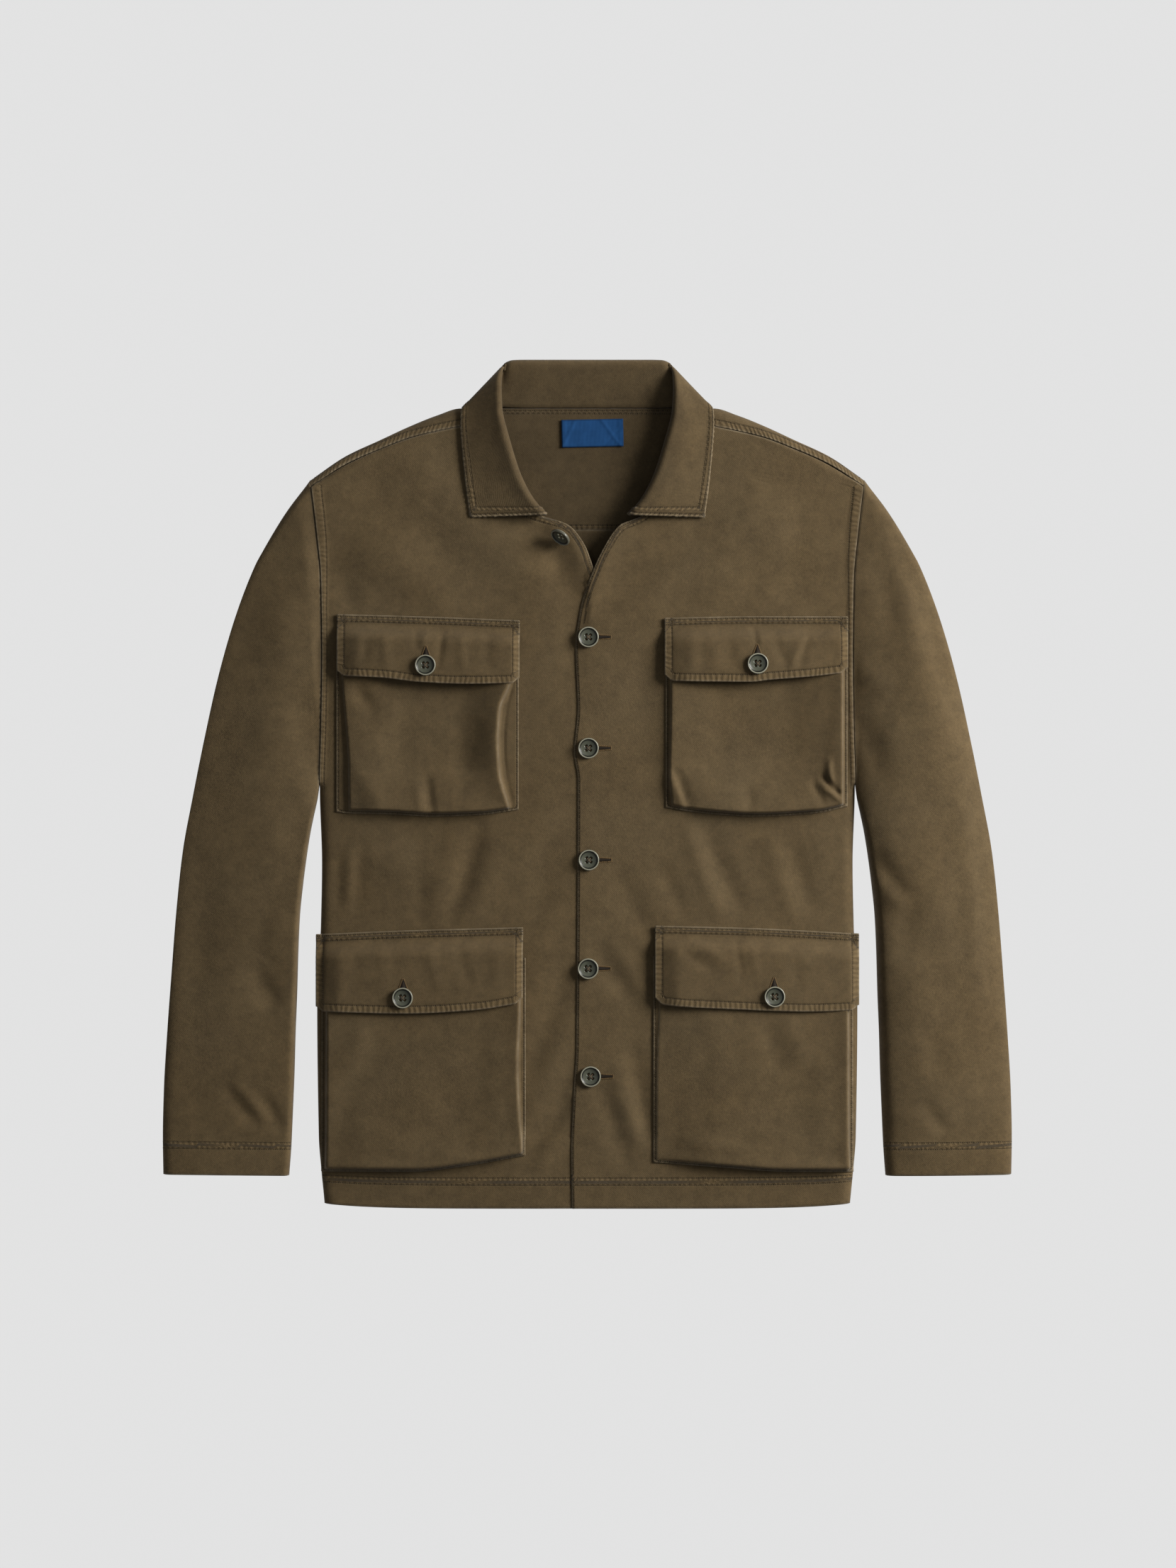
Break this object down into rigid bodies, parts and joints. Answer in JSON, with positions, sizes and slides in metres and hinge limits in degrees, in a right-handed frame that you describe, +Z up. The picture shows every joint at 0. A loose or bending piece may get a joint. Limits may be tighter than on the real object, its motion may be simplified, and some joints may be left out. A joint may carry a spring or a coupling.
{
  "type": "field jacket",
  "caption": "Cotton field jacket laid flat, buttoned, with an open turn-down collar, bellows chest and lower pockets with buttoned flaps, and hemmed sleeves.",
  "frame": {"origin": "middle of the jacket's outline, on the surface that it lies on", "axes": "+X towards the wearer's left sleeve, +Y from the hem to the collar, +Z up off the surface, out of the fronts"},
  "size_m": [0.792, 0.791, 0.0353],
  "materials": {
    "cloth": "garment-dyed brown-olive cotton twill, soft, faintly mottled, paler along the edges",
    "buttons": "dark grey-green resin with a soft polish",
    "label": "plain woven blue label, bare"
  },
  "bodies": {
    "root": {"back": "cloth", "back_yoke": "cloth", "collar": "cloth", "front_left": "cloth", "front_right": "cloth", "sleeve_left_top": "cloth", "sleeve_left_under": "cloth", "sleeve_right_top": "cloth", "sleeve_right_under": "cloth", "chest_pocket_left": "cloth", "chest_pocket_right": "cloth", "lower_pocket_left": "cloth", "lower_pocket_right": "cloth", "chest_pocket_left_flap": "cloth", "chest_pocket_right_flap": "cloth", "lower_pocket_left_flap": "cloth", "lower_pocket_right_flap": "cloth", "front_button_1": "buttons", "front_button_2": "buttons", "front_button_3": "buttons", "front_button_4": "buttons", "front_button_5": "buttons", "neck_button": "buttons", "chest_pocket_left_button": "buttons", "chest_pocket_right_button": "buttons", "lower_pocket_left_button": "buttons", "lower_pocket_right_button": "buttons", "neck_label": "label"}
  },
  "joints": []
}
